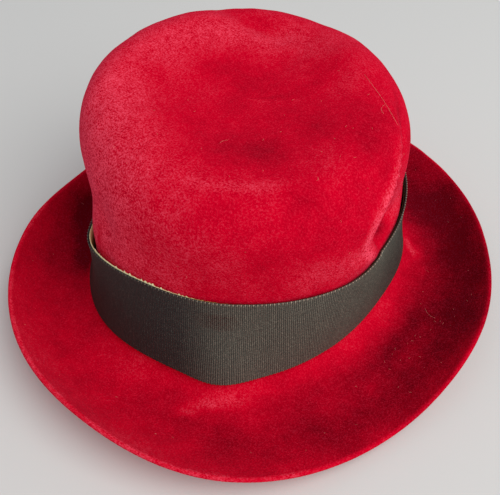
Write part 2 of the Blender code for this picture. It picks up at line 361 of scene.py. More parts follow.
# %% Shoulder and top
def shoulder_zone(degrees, angle):
    """A quarter of a superellipse, from the wall, at 0 degrees, over to the rim, at 90."""
    turn = np.radians(degrees)
    inwards = 1 - np.cos(turn) ** (2 / SHOULDER_POWER)
    upwards = np.sin(turn) ** (2 / SHOULDER_POWER)
    height = rim_height(angle) - SHOULDER_UP + SHOULDER_UP * upwards
    radius = wall_radius(angle, height) - SHOULDER_OUT * round_share("shoulder", angle) * inwards
    points = place(radius, angle, height)
    points[..., 2] -= top_push(points[..., 0], points[..., 1]) * upwards
    return points


def top_zone(share, angle):
    """The rim's ring drawn in to the middle by a share, with the height of a shallow dish. The
    rim has its dents already, so they are taken out where its height is blended in."""
    rim = shoulder_zone(np.full((1, 1), 90.0), angle)
    points = np.concatenate([rim[..., :2] * share[..., None],
                             np.zeros((*np.broadcast_shapes(share.shape, rim.shape[:2]), 1))], axis=-1)
    middle = rim[..., 2].mean()
    blend = share**2
    sink = DISH_DEPTH * (1 - share**2) ** DISH_POWER
    points[..., 2] = middle + (rim[..., 2] - middle) * blend - sink
    points[..., 2] -= top_push(points[..., 0], points[..., 1])
    points[..., 2] += top_push(rim[..., 0], rim[..., 1]) * blend
    return points


print("height of the rim:", shoulder_zone(90.0, np.zeros(1))[..., 2].round(4))

# %% [markdown]
# ## From zones to one skin
#
# The zones are stacked into one grid, from the brim's edge up to the middle of the top. The
# felt's outer side is the same grid moved along its own normals by the felt's thickness,
# with a slight unevenness, because a blocked felt is never quite true.

# %% Helpers for grids
FELT_COLUMNS = 360
OUTER_ROWS = {"brim": 40, "turn": 14, "wall": 90, "shoulder": 22, "top": 30}
INNER_ROWS = {"brim": 16, "turn": 6, "wall": 16, "shoulder": 8, "top": 8}
TOP_HOLE = 0.03
NORMAL_BLUR = 10
OUTLINE_STEPS = 72


def middle_of_brim():
    """The hat stands over the middle of its brim's outline, so everything is moved by it."""
    angle = np.arange(OUTLINE_STEPS) * 2 * np.pi / OUTLINE_STEPS
    edge = brim_zone(np.ones((1, 1)), angle)[0]
    across, along = (edge.max(axis=0) + edge.min(axis=0))[:2] / 2
    return np.array([across, along, 0.0])


def felt_grid(rows, angle):
    """All zones stacked: brim edge first, middle of the top last, and no row twice."""
    column = {name: np.linspace(0, 1, count + 1)[:, None] for name, count in rows.items()}
    widest = 1 - FELT / 2 / BRIM_WIDTH
    zones = [brim_zone(widest * (1 - column["brim"]), angle),
             turn_zone(90 * (1 - column["turn"][1:]), angle),
             wall_zone(column["wall"][1:], angle),
             shoulder_zone(90 * column["shoulder"][1:], angle),
             top_zone(1 - (1 - TOP_HOLE) * column["top"][1:], angle)]
    return np.concatenate(zones) - middle_of_brim()


def unit(vectors):
    """Vectors divided by their own lengths."""
    return vectors / np.linalg.norm(vectors, axis=-1, keepdims=True)


def grid_normals(points):
    """Outward unit normals: the slope round the hat crossed with the slope up the rows, then
    averaged over a few columns, so that the two sides of a sharp crease don't cross."""
    round_slope = np.roll(points, -1, axis=1) - np.roll(points, 1, axis=1)
    up_slope = np.gradient(points, axis=0)
    normals = unit(np.cross(round_slope, up_slope))
    for _ in range(NORMAL_BLUR):
        normals = (np.roll(normals, 1, axis=1) + 2 * normals + np.roll(normals, -1, axis=1)) / 4
    return unit(normals)


def uneven(points, amount, shortest, longest, seed, waves=24):
    """A seeded sum of sine waves in space, so that it has no seam anywhere."""
    dice = np.random.default_rng(seed)
    ways = unit(dice.normal(size=(waves, 3)))
    lengths = dice.uniform(shortest, longest, waves)
    phases = dice.uniform(0, 2 * np.pi, waves)
    turns = points @ (ways / lengths[:, None]).T * 2 * np.pi + phases
    return amount * np.sin(turns).sum(axis=-1) * np.sqrt(2 / waves)


print("middle of the brim:", np.round(middle_of_brim(), 4))

# %% [markdown]
# A mesh is filled from whole arrays. Its grid closes on itself round the hat, and a row of it
# may be closed by triangles round one more point.

# %% Put a grid into a mesh
def put_mesh(name, points, faces, attributes=None):
    """A mesh from an array of points and a list of face arrays, shaded smooth."""
    mesh = bpy.data.meshes.new(name)
    corners = np.concatenate([part.ravel() for part in faces])
    sizes = np.concatenate([np.full(len(part), part.shape[1]) for part in faces])
    mesh.vertices.add(len(points))
    mesh.vertices.foreach_set("co", points.astype(np.float32).ravel())
    mesh.loops.add(len(corners))
    mesh.loops.foreach_set("vertex_index", corners.astype(np.int32))
    mesh.polygons.add(len(sizes))
    mesh.polygons.foreach_set("loop_start", np.concatenate([[0], np.cumsum(sizes)[:-1]]).astype(np.int32))
    mesh.polygons.foreach_set("loop_total", sizes.astype(np.int32))
    mesh.update(calc_edges=True)
    for key, values in (attributes or {}).items():
        layer = mesh.attributes.new(key, "FLOAT", "POINT")
        layer.data.foreach_set("value", values.astype(np.float32).ravel())
    mesh.shade_smooth()
    mesh.validate()
    return mesh


def ring_faces(rows, columns, closed_rows=False):
    """The quads of a grid that closes round its columns, and round its rows if asked."""
    down = np.arange(rows if closed_rows else rows - 1)[:, None]
    across = np.arange(columns)[None, :]
    a = down * columns + across
    b = down * columns + (across + 1) % columns
    c = (down + 1) % rows * columns + (across + 1) % columns
    d = (down + 1) % rows * columns + across
    return np.stack([a, b, c, d], axis=-1).reshape(-1, 4)


def fan_faces(row, columns, tip, flipped):
    """The triangles that close a row of the grid round one point."""
    a = row * columns + np.arange(columns)
    b = row * columns + (np.arange(columns) + 1) % columns
    return np.stack([b, a, np.full(columns, tip)] if flipped else [a, b, np.full(columns, tip)], axis=1)


print("faces of a small ring:", len(ring_faces(3, 8)))

# %% [markdown]
# A finished piece rides on the hat's one body, and it stands for the plain solid of the same
# thing, which it hides.

# %% Add a piece
def add_piece(name, mesh, material, node):
    """A finished piece: it rides on the hat's body and stands for its plain solid, if any."""
    piece = bpy.data.objects.new(name, mesh)
    bpy.context.scene.collection.objects.link(piece)
    mesh.materials.append(material)
    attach(piece, "root")
    if node:
        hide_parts(node)
    triangles = sum(len(face.vertices) - 2 for face in mesh.polygons)
    print(name, triangles, "triangles")
    return piece


print("solids in the frame:", len(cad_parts))

# %% [markdown]
# ## The felt's pile, and painted light and shade
#
# Velour is brushed to a dense pile, which looks deep where it lies towards the eye and light
# where it lies away, so a hand leaves soft patches on it. Many patches of the table are also
# painted light and shade: painted shade behind the top's front rim, in the back dent, in the
# gutter beside the crown at the left and on the brim, and painted highlights and sheen along
# the rims, on the left wall, on the bulge, along the brim's fold line and below the front
# point. Each row of the table has a patch's turn round the hat, its distance out and its
# height, then its spread in each, and the tone that it adds, above zero for lighter.

# %% Patches of the nap
PILE_AND_PAINTED_LIGHT_PATCHES = (
    (0, 0.0, 0.113, 900, 0.036, 0.02, -0.1),
    # Painted shade behind the top's front rim, then a painted highlight along that rim.
    (35, 0.047, 0.115, 45, 0.012, 0.02, -0.3),
    (31, 0.0715, 0.115, 18, 0.0035, 0.012, 0.45),
    # Painted shade in the back dent, then painted sheen along the back and left rims and the left wall.
    (206, 0.066, 0.117, 14, 0.007, 0.012, -0.5),
    (215, 0.058, 0.12, 60, 0.018, 0.02, 0.6),
    (310, 0.068, 0.118, 40, 0.022, 0.03, 0.6),
    (338, 0.087, 0.085, 32, 0.03, 0.045, 0.85),
    (55, 0.09, 0.095, 22, 0.02, 0.03, -0.15),
    # A painted highlight on the bulge above the ribbon at the right.
    (62, 0.092, 0.077, 14, 0.02, 0.011, 0.55),
    (100, 0.082, 0.065, 14, 0.02, 0.03, 0.15),
    (95, 0.07, 0.11, 20, 0.015, 0.02, -0.2),
    (108, 0.067, 0.118, 30, 0.012, 0.012, -0.15),
    # Painted shade on the brim at the right, where it turns up away from the lamp, and at the front.
    (115, 0.13, 0.008, 45, 0.024, 0.03, -1.05),
    (75, 0.106, 0.003, 35, 0.008, 0.02, -0.5),
    (5, 0.12, 0.003, 30, 0.01, 0.02, -0.22),
    # Painted shade in the gutter beside the crown at the left.
    (282, 0.106, 0.006, 10, 0.008, 0.02, -0.9),
    (295, 0.099, 0.004, 10, 0.007, 0.02, -0.9),
    (307, 0.095, 0.003, 7, 0.005, 0.02, -0.7),
    # Painted shade on the brim at the right towards the back, and a dark painted line in the crease of the
    # left wall.
    (145, 0.116, 0.004, 13, 0.014, 0.02, -0.5),
    (337, 0.088, 0.064, 1.8, 0.02, 0.014, -0.7),
    # A painted highlight along the fold line of the brim at the right.
    (126, 0.1003, 0.003, 2.2, 0.0018, 0.02, 0.8),
    (122, 0.1021, 0.003, 2.2, 0.0018, 0.02, 0.8),
    (118, 0.104, 0.003, 2.2, 0.0018, 0.02, 0.7),
    (114, 0.106, 0.003, 2.2, 0.0018, 0.02, 0.5),
    # Painted shade on the brim at the front right and at the left.
    (62, 0.128, 0.006, 30, 0.018, 0.03, -0.35),
    (34, 0.131, 0.006, 25, 0.016, 0.03, -0.3),
    (300, 0.112, 0.004, 32, 0.022, 0.03, -0.48),
    # A painted highlight streak below the ribbon's front point, and painted shade under it.
    (17.5, 0.1145, 0.003, 2.5, 0.003, 0.02, 0.75),
    (22, 0.1085, 0.003, 3.5, 0.003, 0.02, 0.7),
    (28, 0.105, 0.003, 5, 0.0035, 0.02, 0.45),
    (12, 0.108, 0.003, 4, 0.0045, 0.02, -0.35),
    (38, 0.1, 0.003, 8, 0.004, 0.02, 0.2),
    (215, 0.125, 0.01, 60, 0.03, 0.03, -0.2),
)
print("nap patches:", len(PILE_AND_PAINTED_LIGHT_PATCHES))

# %% [markdown]
# The fold has tones of its own: a painted highlight along the ridge and painted shade in the
# hollow past it. High up the ridge runs nearly level, and its slant evens out its width.

# %% The tone of the pile, with painted light and shade
STRAY_TONE, STRAY_LENGTHS = 0.07, (0.010, 0.050)
LIGHT_SHARE = 0.6  # how much of each light tone is used
RIDGE_HIGHLIGHT, RIDGE_WIDTH = 1.4, 1.6
CREASE_SHADE, CREASE_PAST, CREASE_WIDTH = 1.2, 11.0, 6.0
WALL_DEGREE = 0.0015  # the length of one degree round the wall


def fold_slant(height):
    """How many times longer the way round the wall is than the way straight across the ridge."""
    up = (height / CROWN_HEIGHT - FOLD_LEVEL) / FOLD_REACH
    slope = 2 * FOLD_BEND * up + 3 * FOLD_SKEW * up**2
    return np.hypot(1, slope * WALL_DEGREE / (CROWN_HEIGHT * FOLD_REACH))


def pile_and_painted_light_tone(points):
    """The sum of the patches, partly painted light and shade, of stray waves and of the fold's painted
    highlight and painted shade lines.
    """
    from_middle = points + middle_of_brim()
    angle = np.arctan2(from_middle[:, 0], -from_middle[:, 1])
    out = np.hypot(from_middle[:, 0], from_middle[:, 1])
    tone = uneven(points, STRAY_TONE, *STRAY_LENGTHS, seed=5)
    for turn, away, up, spread_turn, spread_out, spread_up, amount in PILE_AND_PAINTED_LIGHT_PATCHES:
        power = ((turn_between(angle, turn) / spread_turn) ** 2 + ((out - away) / spread_out) ** 2
                 + ((points[:, 2] - up) / spread_up) ** 2)
        tone = tone + amount * np.exp(-power)
    past, along = fold_place(angle, points[:, 2])
    across = past / fold_slant(points[:, 2])
    # A painted highlight along the ridge, and painted shade in the hollow past it.
    light = RIDGE_HIGHLIGHT * np.exp(-(((across + RIDGE_WIDTH) / RIDGE_WIDTH) ** 2))
    crease_shade = CREASE_SHADE * np.exp(-(((past - CREASE_PAST) / CREASE_WIDTH) ** 2))
    tone = tone + (light - crease_shade) * along
    return np.where(tone > 0, LIGHT_SHARE * tone, tone)


print("tone on the middle of the top:", pile_and_painted_light_tone(np.array([[0, 0, CROWN_HEIGHT]])).round(2))

# %% [markdown]
# ## Shader helpers
#
# A few short functions keep the node trees readable. Two effects that more than one material
# uses are groups: a fine fuzz for the grain and the bump, and a mottled tone for the colour.

# %% Node helpers
FLOAT, COLOUR, VECTOR = "NodeSocketFloat", "NodeSocketColor", "NodeSocketVector"


def set_socket(tree, socket, value):
    """Link the socket if the value is an output of another node, and else set it."""
    if isinstance(value, bpy.types.NodeSocket):
        tree.links.new(value, socket)
    else:
        socket.default_value = value


def add_node(tree, kind, settings=None, **sockets):
    """A node of a kind, with its settings and with sockets set by name, linked or plain."""
    node = tree.nodes.new(kind)
    for key, value in (settings or {}).items():
        setattr(node, key, value)
    for key, value in sockets.items():
        set_socket(tree, node.inputs[key.replace("_", " ")], value)
    return node


def new_group(name, inputs, outputs):
    """A node group, the sockets that bring its inputs and those that take its outputs."""
    group = bpy.data.node_groups.new(name, "ShaderNodeTree")
    for label, kind, value in inputs:
        made = group.interface.new_socket(label, in_out="INPUT", socket_type=kind)
        made.default_value = value
    for label, kind in outputs:
        group.interface.new_socket(label, in_out="OUTPUT", socket_type=kind)
    return group, group.nodes.new("NodeGroupInput").outputs, group.nodes.new("NodeGroupOutput").inputs


def use_group(tree, group, **sockets):
    """A group placed in a tree, with its inputs set by name."""
    return add_node(tree, "ShaderNodeGroup", {"node_tree": group}, **sockets)


def math_node(tree, operation, a, b):
    """The output of a sum, a product or the like of two values."""
    node = add_node(tree, "ShaderNodeMath", {"operation": operation})
    set_socket(tree, node.inputs[0], a)
    set_socket(tree, node.inputs[1], b)
    return node.outputs[0]


def mix_colours(tree, factor, a, b, blend="MIX"):
    """Two colours mixed or added by a factor. A Mix node's colours are its sockets 6 and 7."""
    node = add_node(tree, "ShaderNodeMix", {"data_type": "RGBA", "blend_type": blend, "clamp_factor": True})
    for number, value in ((0, factor), (6, a), (7, b)):
        set_socket(tree, node.inputs[number], value)
    return node.outputs[2]


print("socket kinds:", FLOAT, COLOUR, VECTOR)

# %% [markdown]
# The fuzz group gives a grain value for the colour and a bumped normal from the same noise,
# so that both agree.

# %% The group of fuzz
FINE_TIMES = 2.7  # how many times finer the second noise is
COARSE_SHARE = 0.65


def make_fuzz_group():
    """Two noises of unlike size, added, give a grain value and a bumped normal."""
    tree, given, put_out = new_group(
        "fuzz", [("Vector", VECTOR, (0, 0, 0)), ("Scale", FLOAT, 900.0), ("Depth", FLOAT, 0.0002)],
        [("Grain", FLOAT), ("Normal", VECTOR)])
    coarse = add_node(tree, "ShaderNodeTexNoise", None, Vector=given["Vector"], Scale=given["Scale"],
                      Detail=2.0, Roughness=0.6)
    fine_scale = math_node(tree, "MULTIPLY", given["Scale"], FINE_TIMES)
    fine = add_node(tree, "ShaderNodeTexNoise", None, Vector=given["Vector"],
                    Scale=fine_scale, Detail=1.0, Roughness=0.5)
    both = math_node(tree, "ADD", math_node(tree, "MULTIPLY", coarse.outputs[0], COARSE_SHARE),
                     math_node(tree, "MULTIPLY", fine.outputs[0], 1 - COARSE_SHARE))
    bump = add_node(tree, "ShaderNodeBump", None, Strength=1.0, Distance=given["Depth"], Height=both)
    tree.links.new(both, put_out["Grain"])
    tree.links.new(bump.outputs[0], put_out["Normal"])
    return tree


FUZZ = make_fuzz_group()
print("group:", FUZZ.name)

# %% [markdown]
# The mottle group turns one tone value into a colour. Shaking the value by the grain before
# the colours are mixed gives crisp flecks at the borders of the tones, as real pile has.

# %% The group of mottling
def make_mottle_group():
    """Deep below zero, plain about zero and light above it, by a tone that a grain shakes."""
    tree, given, put_out = new_group(
        "mottle", [("Tone", FLOAT, 0.0), ("Grain", FLOAT, 0.5), ("Shake", FLOAT, 0.5),
                   ("Deep", COLOUR, (0, 0, 0, 1)), ("Plain", COLOUR, (0.5, 0.5, 0.5, 1)),
                   ("Light", COLOUR, (1, 1, 1, 1))],
        [("Color", COLOUR)])
    centred = math_node(tree, "SUBTRACT", given["Grain"], 0.5)
    shaken = math_node(tree, "ADD", given["Tone"],
                       math_node(tree, "MULTIPLY", centred, given["Shake"]))
    light = mix_colours(tree, shaken, given["Plain"], given["Light"])
    below = math_node(tree, "MULTIPLY", shaken, -1.0)
    colour = mix_colours(tree, below, light, given["Deep"])
    tree.links.new(colour, put_out["Color"])
    return tree


MOTTLE = make_mottle_group()
print("group:", MOTTLE.name)

# %% [markdown]
# ## The velour finish
#
# Pile scatters light back at a glancing angle, so velour glows along its outline. Sheen with
# a pinkish tint does this. The tone picks between a deep, a plain and a light red; where the
# tone carries painted shade the deep red paints it, and where it carries painted highlights
# the light red does. A brushed pattern about 5 mm wide and a grain about a millimetre wide
# break it up, more so where it is light, because raised pile shows its single hairs. A faint
# painted glint is added to the colour where the grain is high.

# %% The felt's material
# The deep red also serves as painted shade and the light red as painted highlight, where the tone carries
# them.
FELT_DEEP = (0.170, 0.0004, 0.006, 1)
FELT_PLAIN = (0.700, 0.0004, 0.021, 1)
FELT_LIGHT = (1.000, 0.0700, 0.128, 1)
FELT_GLINT = (0.020, 0.0110, 0.020, 1)
GLINT_GAIN = 7.0
BRUSH_SCALE = 200.0
BRUSH_TONE, BRUSH_LIGHT = 0.45, 1.6
GRAIN_TONE, GRAIN_LIGHT = 1.1, 9.0


def plain_shader(name, roughness, specular):
    """A new material with its node tree, and the Principled shader in it."""
    material = bpy.data.materials.new(name)
    material.use_nodes = True
    shader = material.node_tree.nodes["Principled BSDF"]
    shader.inputs["Roughness"].default_value = roughness
    shader.inputs["Specular IOR Level"].default_value = specular
    return material, material.node_tree, shader


def fuzzy_surface(tree, shader, attribute, scale, depth):
    """The fuzz bumps the normal. Gives the place, the grain and the mesh's own tone."""
    places = add_node(tree, "ShaderNodeTexCoord").outputs["Object"]
    fuzz = use_group(tree, FUZZ, Vector=places, Scale=scale, Depth=depth)
    tree.links.new(fuzz.outputs["Normal"], shader.inputs["Normal"])
    tone = add_node(tree, "ShaderNodeAttribute", {"attribute_name": attribute})
    return places, fuzz.outputs["Grain"], tone.outputs["Fac"]


def make_felt_material():
    """The tone plus the brushed pattern goes to the mottle, and the glint is added to it."""
    material, tree, shader = plain_shader("red_velour", 0.95, 0.0)
    shader.inputs["Sheen Weight"].default_value = 0.20
    shader.inputs["Sheen Roughness"].default_value = 0.28
    shader.inputs["Sheen Tint"].default_value = (1.0, 0.20, 0.38, 1)
    places, grain, pile_and_painted_light = fuzzy_surface(tree, shader, "pile_and_painted_light", 1100.0, 0.0005)
    brushed = add_node(tree, "ShaderNodeTexNoise", None, Vector=places,
                       Scale=BRUSH_SCALE, Detail=3.0, Roughness=0.55)
    lightness = math_node(tree, "MAXIMUM", pile_and_painted_light, 0.0)
    reach = math_node(tree, "ADD", math_node(tree, "MULTIPLY", lightness, BRUSH_LIGHT), BRUSH_TONE)
    patchy = math_node(tree, "MULTIPLY", math_node(tree, "SUBTRACT", brushed.outputs[0], 0.5), reach)
    tone = math_node(tree, "ADD", pile_and_painted_light, patchy)
    shake = math_node(tree, "ADD", math_node(tree, "MULTIPLY", lightness, GRAIN_LIGHT), GRAIN_TONE)
    mottle = use_group(tree, MOTTLE, Tone=tone, Grain=grain, Shake=shake,
                       Deep=FELT_DEEP, Plain=FELT_PLAIN, Light=FELT_LIGHT)
    # A painted glint: a pale colour added to the base colour where the grain is high.
    painted_glint = math_node(tree, "MULTIPLY", math_node(tree, "SUBTRACT", grain, 0.5), GLINT_GAIN)
    colour = mix_colours(tree, painted_glint, mottle.outputs["Color"], FELT_GLINT, "ADD")
    tree.links.new(colour, shader.inputs["Base Color"])
    return material


VELOUR = make_felt_material()
print("material:", VELOUR.name)

# %% [markdown]
# ## Crown and brim
#
# They are one mesh: down the inner side, round the cut edge, and up the outer side. The
# columns lie closer together at the fold, whose ridge needs them most.

# %% The cut edge and the columns
EDGE_ROWS = 5
FINE_STEPS = 3600
CROWDING = 1.8  # how much denser the columns get at the fold
CROWDED_ANGLE = FOLD_ANGLE + 10
CROWDED_SPREAD = 22


def cut_edge(inner_edge, outer_edge, inner_next):
    """A half circle from one side to the other: the middle, plus half the thickness turned."""
    middle = (inner_edge + outer_edge) / 2
    half = (outer_edge - inner_edge) / 2
    outward = unit(inner_edge - inner_next)
    turn = np.linspace(0, np.pi, EDGE_ROWS + 2)[1:-1, None, None]
    reach = np.linalg.norm(half, axis=-1, keepdims=True)
    return middle - half * np.cos(turn) + outward * reach * np.sin(turn)


def felt_angles():
    """Angles that lie closer together at the fold: their density is 1, plus a bell there."""
    fine = np.linspace(0, 2 * np.pi, FINE_STEPS + 1)
    density = 1 + CROWDING * np.exp(-((turn_between(fine, CROWDED_ANGLE) / CROWDED_SPREAD) ** 2))
    share = np.concatenate([[0], np.cumsum((density[1:] + density[:-1]) / 2)])
    return np.interp(np.arange(FELT_COLUMNS) / FELT_COLUMNS * share[-1], share, fine)


print("narrowest column, in degrees:", np.degrees(np.diff(felt_angles()).min()).round(2))

# %% [markdown]
# A hyperbolic tangent keeps the unevenness of the outer side within a limit, so that the tape,
# 0.3 mm off the felt, stays clear of it.

# %% Make the felt
LUMP_HEIGHT, LUMP_LENGTHS = 0.00018, (0.010, 0.035)
LUMP_LIMIT = 0.00016
# A painted highlight along the brim's cut edge.
EDGE_HIGHLIGHT = 0.22  # the cut edge is a little lighter


def make_felt():
    """Both sides and the edge as one grid, closed at the middle of the top by two fans."""
    angle = felt_angles()
    inner = felt_grid(INNER_ROWS, angle)
    outer = felt_grid(OUTER_ROWS, angle)
    lumps = uneven(outer, LUMP_HEIGHT, *LUMP_LENGTHS, seed=3)
    thick = FELT + LUMP_LIMIT * np.tanh(lumps / LUMP_LIMIT)
    outer = outer + grid_normals(outer) * thick[..., None]
    edge = cut_edge(inner[0], outer[0], inner[1])
    grid = np.concatenate([inner[::-1], edge, outer])
    rows = len(grid)
    inner_tip = inner[-1].mean(axis=0)
    outer_tip = outer[-1].mean(axis=0)
    points = np.concatenate([grid.reshape(-1, 3), [inner_tip, outer_tip]])
    faces = [ring_faces(rows, FELT_COLUMNS),
             fan_faces(0, FELT_COLUMNS, len(points) - 2, flipped=True),
             fan_faces(rows - 1, FELT_COLUMNS, len(points) - 1, flipped=False)]
    tone = pile_and_painted_light_tone(points)
    # The cut edge gets a painted highlight.
    tone[len(inner) * FELT_COLUMNS:(len(inner) + EDGE_ROWS + 1) * FELT_COLUMNS] += EDGE_HIGHLIGHT
    mesh = put_mesh("felt", points, faces, {"pile_and_painted_light": tone})
    add_piece("felt_hat_body", mesh, VELOUR, "felt_body")
    return outer, grid_normals(outer)


FELT_SKIN, FELT_NORMALS = make_felt()

# %% [markdown]
# ## Lint
#
# Worn velour holds lint. Each fibre is a thin three-sided tube along a curved path, laid out
# on the felt's own grid, with steps in metres turned into rows and columns.

# %% Paths and tubes for fibres
FIBRE_RINGS = 7
FIBRE_LIFT = 0.0001
SIDEWAYS = np.array([0.3, 0.5, 0.8])


def on_skin(row, column):
    """A point of the felt's outer side, and its normal, between the rows and columns."""
    row = np.clip(row, 0, len(FELT_SKIN) - 1.001)
    low, left = np.floor(row).astype(int), np.floor(column).astype(int)
    up, across = (row - low)[:, None], (column - left)[:, None]
    left, right = left % FELT_COLUMNS, (left + 1) % FELT_COLUMNS
    spots = []
    for grid in (FELT_SKIN, FELT_NORMALS):
        below = grid[low, left] * (1 - across) + grid[low, right] * across
        above = grid[low + 1, left] * (1 - across) + grid[low + 1, right] * across
        spots.append(below * (1 - up) + above * up)
    return spots


def fibre_path(row, column, heading, length, bend):
    """A path that starts at a grid place and turns evenly: its heading grows by the bend."""
    down, left = int(row), int(column) % FELT_COLUMNS
    row_step = np.linalg.norm(FELT_SKIN[down + 1, left] - FELT_SKIN[down, left])
    column_step = np.linalg.norm(FELT_SKIN[down, (left + 1) % FELT_COLUMNS] - FELT_SKIN[down, left])
    turn = np.radians(heading + bend * np.linspace(0, 1, FIBRE_RINGS))
    piece = length / (FIBRE_RINGS - 1)
    rows = row + np.concatenate([[0], np.cumsum(np.sin(turn[1:]))]) * piece / row_step
    columns = column + np.concatenate([[0], np.cumsum(np.cos(turn[1:]))]) * piece / column_step
    spot, normal = on_skin(rows, columns)
    return spot + normal * FIBRE_LIFT


def tube(path, radius):
    """A three-sided tube: each ring is the path's point plus a radius turned about its way."""
    way = unit(np.gradient(path, axis=0))
    side = unit(np.cross(way, SIDEWAYS))
    over = np.cross(way, side)
    turn = np.arange(3) * 2 * np.pi / 3
    rings = path[:, None] + radius * (side[:, None] * np.cos(turn)[:, None]
                                      + over[:, None] * np.sin(turn)[:, None])
    last = 3 * (len(path) - 1)
    caps = np.array([[2, 1, 0], [last, last + 1, last + 2]])
    return rings.reshape(-1, 3), ring_faces(len(path), 3), caps


print("start of a fibre:", fibre_path(1.0, 0.0, 0.0, 0.001, 0.0)[0].round(4))

# %% [markdown]
# The few long hairs stand in a table: the turn where each starts, how far up the grid's rows
# as a share, its heading, its length, and how far it bends. Short fibres fall at random on
# the brim and on the crown.

# %% Make the lint
FIBRE_COUNT = 150
FIBRE_LENGTHS = (0.0004, 0.0016)
FIBRE_RADIUS = 0.00006
FIBRE_BEND = 60
BRIM_SHARES = (0.02, 0.19)
CROWN_SHARES = (0.58, 0.94)
LINT_COLOUR = (0.85, 0.30, 0.26, 1)
HAIRS = (
    (132, 0.84, 196, 0.040, 20),
    (112, 0.82, 140, 0.009, 70),
    (20, 0.92, 200, 0.005, 60),
    (98, 0.16, 200, 0.010, 50),
)


def make_lint():
    """Short fibres at random places of the brim and the crown, and a few longer hairs."""
    dice = np.random.default_rng(21)
    rows = len(FELT_SKIN) - 1
    paths = []
    for turn, share, heading, length, bend in HAIRS:
        column = np.interp(np.radians(turn), felt_angles(), np.arange(FELT_COLUMNS))
        paths.append(fibre_path(share * rows, column, heading, length, bend))
    for number in range(FIBRE_COUNT):
        share = dice.uniform(*(BRIM_SHARES if number % 2 else CROWN_SHARES))
        paths.append(fibre_path(share * rows, dice.uniform(0, FELT_COLUMNS), dice.uniform(0, 360),
                                dice.uniform(*FIBRE_LENGTHS), dice.normal(0, FIBRE_BEND)))
    points, sides, caps = zip(*[tube(path, FIBRE_RADIUS) for path in paths])
    starts = np.cumsum([0] + [len(part) for part in points[:-1]])
    faces = [np.concatenate([part + start for part, start in zip(kind, starts)]) for kind in (sides, caps)]
    material, tree, shader = plain_shader("pale_lint", 0.8, 0.2)
    shader.inputs["Base Color"].default_value = LINT_COLOUR
    mesh = put_mesh("lint", np.concatenate(points), faces)
    return add_piece("lint", mesh, material, None)


make_lint()

# %% [markdown]
# ## The ribbon
#
# A grosgrain ribbon has stout cross ribs, about a millimetre apart here, and loops of thread
# at its edges at every second rib; the upper loops carry a painted highlight and the grooves
# between the ribs painted shade. The ribs are real shape, so each has four columns of the
# grid, spaced by length along the ribbon and not by angle.

# %% Surfaces of the bands
RIB_PITCH = 0.00098
RIB_HEIGHT = 0.00022
RIB_COLUMNS = 4
LINE_STEPS = 2880


def band_surface(up, angle, clearance):
    """Taut round the crown, a clearance off the felt, pushed out by its ridges only, and
    standing off by the square of the share up the ribbon."""
    height = foot_height(angle) + SEAM_LIFT + up
    ridges = np.maximum(-wall_push(angle, height), 0)
    ring = place(smooth_radius(angle, height) + ridges, angle, height)
    away = FELT + clearance + STAND_OFF * round_share("stand_off", angle) * (up / RIBBON_WIDTH) ** 2
    slope = np.roll(ring, -1, axis=1) - np.roll(ring, 1, axis=1)
    outward = unit(np.stack([slope[..., 1], -slope[..., 0], np.zeros(slope.shape[:2])], axis=-1))
    return ring + outward * away[..., None] - middle_of_brim(), outward


def even_angles(count):
    """Angles that part the ribbon's middle line into stretches of one length."""
    fine = np.linspace(0, 2 * np.pi, LINE_STEPS + 1)
    line = band_surface(np.full((1, 1), RIBBON_WIDTH / 2), fine[:-1], CLEARANCE)[0][0]
    steps = np.linalg.norm(np.roll(line, -1, axis=0) - line, axis=1)
    length = np.concatenate([[0], np.cumsum(steps)])
    return np.interp(np.arange(count) / count * length[-1], length, fine), length[-1]


print("ribbon length:", round(even_angles(8)[1], 4))

# %% [markdown]
# The ribbon is black, with a dull olive painted on as sheen where the light meets it. Its
# ribs are satin smooth, so it is a little glossy, and a little grey dust lies on it.

# %% The ribbon's material
RIBBON_DUST = (0.050, 0.052, 0.048, 1)
DUST_LEVEL, DUST_GAIN = 0.53, 5.0


def make_ribbon_material():
    """The tone goes to the mottle, and dust is added where the grain is past a level."""
    material, tree, shader = plain_shader("black_ribbed_ribbon", 0.5, 0.22)
    _, grain, tone = fuzzy_surface(tree, shader, "tone", 1700.0, 0.00006)
    # The plain olive is the painted sheen, and the light colour the painted highlight of the loops.
    mottle = use_group(tree, MOTTLE, Tone=tone, Grain=grain, Shake=2.8,
                       Deep=(0.020, 0.0275, 0.0265, 1), Plain=(0.120, 0.118, 0.094, 1),
                       Light=(0.46, 0.40, 0.30, 1))
    dust = math_node(tree, "MULTIPLY", math_node(tree, "SUBTRACT", grain, DUST_LEVEL), DUST_GAIN)
    colour = mix_colours(tree, dust, mottle.outputs["Color"], RIBBON_DUST, "ADD")
    tree.links.new(colour, shader.inputs["Base Color"])
    return material


GROSGRAIN = make_ribbon_material()
print("material:", GROSGRAIN.name)

# %% [markdown]
# The tone is black at the left, a dull olive painted as sheen where the light meets it, and
# black again in two steps towards the back, each with its turn, its width and how much it
# takes away.

# %% The ribbon's tone
LIT_SIDE_MIDDLE = 60
LIT_SIDE_START, LIT_SIDE_START_WIDTH = -44, 4
LIT_SIDE_ENDS = ((28, 6, 0.55), (60, 12, 0.45))
BLACK_TONE = 0.88
RIB_TONE = 0.03


def step(value, width):
    """A smooth step from 0 to 1 where the value passes zero."""
    return 1 / (1 + np.exp(-value / width))


